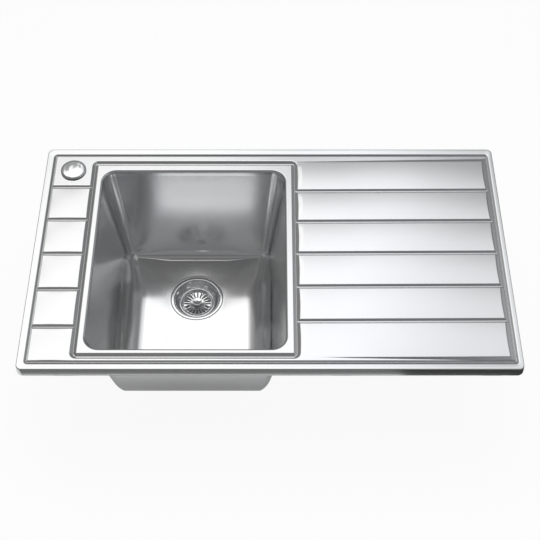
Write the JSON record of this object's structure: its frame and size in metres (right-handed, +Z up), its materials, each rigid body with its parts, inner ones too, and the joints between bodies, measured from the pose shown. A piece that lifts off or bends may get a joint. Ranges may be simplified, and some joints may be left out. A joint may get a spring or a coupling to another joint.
{
  "type": "kitchen sink with drainboard",
  "caption": "Inset stainless steel kitchen sink with a deep bowl, a tiled tap strip and a ribbed drainboard that slopes into the bowl.",
  "frame": {"origin": "middle of the worktop cut-out, on the worktop's upper surface", "axes": "+X to the drainboard's right end, +Y to the back, +Z up"},
  "size_m": [0.86, 0.5, 0.3053],
  "materials": {
    "sheet_steel": "satin",
    "polished_steel": "polished",
    "zinc_steel": "zinc plated",
    "passivated_steel": "yellow passivated",
    "foam": "matte",
    "sound_pad": "matte",
    "black_rubber": "matte",
    "white_plastic": "matte"
  },
  "bodies": {
    "sink": {"sink_deck": "sheet_steel", "sink_bowl": "sheet_steel", "worktop_seal": "foam", "drainer_stiffener_front": "zinc_steel", "drainer_stiffener_rear": "zinc_steel", "bowl_sound_pad": "sound_pad", "drainer_sound_pad": "sound_pad", "clip_brackets": "zinc_steel", "clip_screws": "passivated_steel", "tap_hole_cap": "polished_steel", "tap_hole_gasket": "black_rubber", "cap_stud": "zinc_steel", "cap_clamp_washer": "white_plastic", "cap_wing_nut": "zinc_steel", "strainer_cup": "polished_steel", "strainer_seal": "black_rubber", "waste_gasket": "black_rubber", "waste_body": "white_plastic", "waste_screw": "zinc_steel"},
    "basket_body": {"basket": "polished_steel"},
    "plunger": {"basket_stem": "zinc_steel", "basket_knob": "polished_steel", "basket_stopper": "black_rubber", "stem_clip": "zinc_steel"},
    "arm_1": {"clip_arm_1": "zinc_steel"},
    "arm_2": {"clip_arm_2": "zinc_steel"},
    "arm_3": {"clip_arm_3": "zinc_steel"},
    "arm_4": {"clip_arm_4": "zinc_steel"},
    "arm_5": {"clip_arm_5": "zinc_steel"},
    "arm_6": {"clip_arm_6": "zinc_steel"},
    "arm_7": {"clip_arm_7": "zinc_steel"},
    "arm_8": {"clip_arm_8": "zinc_steel"}
  },
  "joints": [
    {"name": "basket_lift", "type": "slide", "parent": "sink", "child": "basket_body", "axis": [0, 0, 1], "range_m": [0, 0.25]},
    {"name": "stopper_lift", "type": "slide", "parent": "basket_body", "child": "plunger", "axis": [0, 0, 1], "range_m": [0, 0.0075]},
    {"name": "arm_1_swing", "type": "hinge", "parent": "sink", "child": "arm_1", "pos_m": [-0.37195, -0.2215, -0.033], "axis": [0, 0, -1], "range_deg": [0, 90]},
    {"name": "arm_2_swing", "type": "hinge", "parent": "sink", "child": "arm_2", "pos_m": [0.11008, -0.2215, -0.033], "axis": [0, 0, -1], "range_deg": [0, 90]},
    {"name": "arm_3_swing", "type": "hinge", "parent": "sink", "child": "arm_3", "pos_m": [0.36808, -0.2215, -0.033], "axis": [0, 0, -1], "range_deg": [0, 90]},
    {"name": "arm_4_swing", "type": "hinge", "parent": "sink", "child": "arm_4", "pos_m": [0.4015, 0, -0.033], "axis": [0, 0, -1], "range_deg": [0, 90]},
    {"name": "arm_5_swing", "type": "hinge", "parent": "sink", "child": "arm_5", "pos_m": [-0.28982, 0.2215, -0.033], "axis": [0, 0, -1], "range_deg": [0, 90]},
    {"name": "arm_6_swing", "type": "hinge", "parent": "sink", "child": "arm_6", "pos_m": [0.0602, 0.2215, -0.033], "axis": [0, 0, -1], "range_deg": [0, 90]},
    {"name": "arm_7_swing", "type": "hinge", "parent": "sink", "child": "arm_7", "pos_m": [0.3698, 0.2215, -0.033], "axis": [0, 0, -1], "range_deg": [0, 90]},
    {"name": "arm_8_swing", "type": "hinge", "parent": "sink", "child": "arm_8", "pos_m": [-0.4015, 0, -0.033], "axis": [0, 0, -1], "range_deg": [0, 90]}
  ]
}
